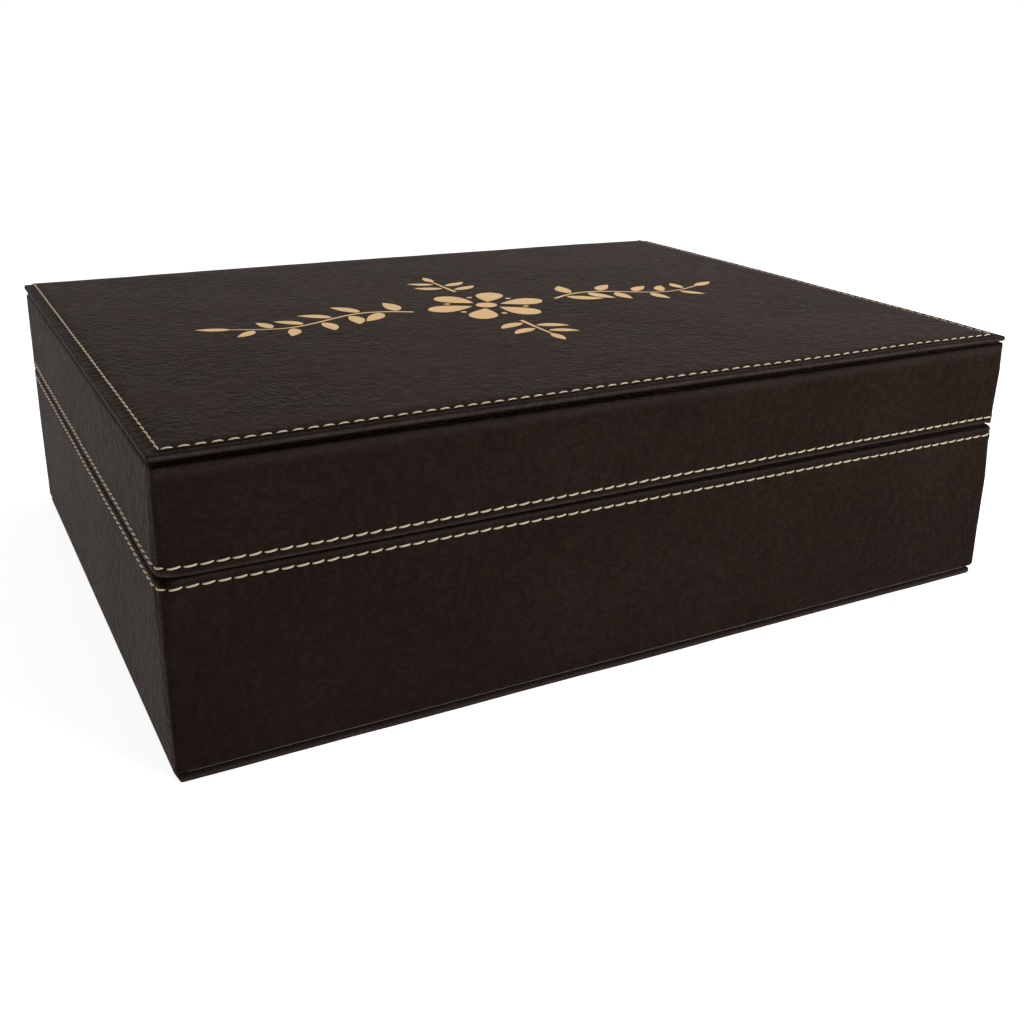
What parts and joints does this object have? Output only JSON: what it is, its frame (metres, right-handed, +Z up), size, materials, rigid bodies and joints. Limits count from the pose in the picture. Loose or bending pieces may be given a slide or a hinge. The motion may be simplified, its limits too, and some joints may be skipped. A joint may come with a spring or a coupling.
{
  "type": "leatherette gift box",
  "caption": "Rectangular keepsake box wrapped in stitched leatherette, with a hinged lid, a soft lining and a hidden magnetic catch.",
  "frame": {"origin": "centre of the underside, on the surface that the box stands on", "axes": "+X along the front to the box's right-hand end as seen from the front, +Y from the front to the hinge side, +Z up"},
  "size_m": [0.32, 0.25, 0.1],
  "materials": {
    "leatherette": "matt, fine pebble grain",
    "fibreboard": "raw",
    "greyboard": "raw",
    "thread": "waxed",
    "lining": "suede nap",
    "magnet": "nickel plated"
  },
  "bodies": {
    "base": {"base_bottom_board": "greyboard", "base_case_cover": "leatherette", "base_back_thread_left": "thread", "base_back_thread_right": "thread", "base_wall_cover": "leatherette", "base_rim_thread": "thread", "base_front_wall": "fibreboard", "base_back_wall": "fibreboard", "base_left_wall": "fibreboard", "base_right_wall": "fibreboard", "base_floor_board": "fibreboard", "base_magnet_left": "magnet", "base_magnet_right": "magnet", "base_floor_pad": "lining", "base_front_lining": "lining", "base_back_lining": "lining", "base_left_lining": "lining", "base_right_lining": "lining", "base_hinge_strip": "lining"},
    "lid": {"lid_top_board": "greyboard", "lid_case_cover": "leatherette", "lid_back_thread_left": "thread", "lid_back_thread_right": "thread", "lid_top_thread": "thread", "lid_wall_cover": "leatherette", "lid_rim_thread": "thread", "lid_front_wall": "fibreboard", "lid_back_wall": "fibreboard", "lid_left_wall": "fibreboard", "lid_right_wall": "fibreboard", "lid_ceiling_board": "fibreboard", "lid_magnet_left": "magnet", "lid_magnet_right": "magnet", "lid_ceiling_pad": "lining", "lid_front_lining": "lining", "lid_back_lining": "lining", "lid_left_lining": "lining", "lid_right_lining": "lining", "lid_hinge_strip": "lining"}
  },
  "joints": [
    {"name": "lid_hinge", "type": "hinge", "parent": "base", "child": "lid", "pos_m": [0, 0.125, 0.0636], "axis": [-1, 0, 0], "range_deg": [0, 100]}
  ]
}
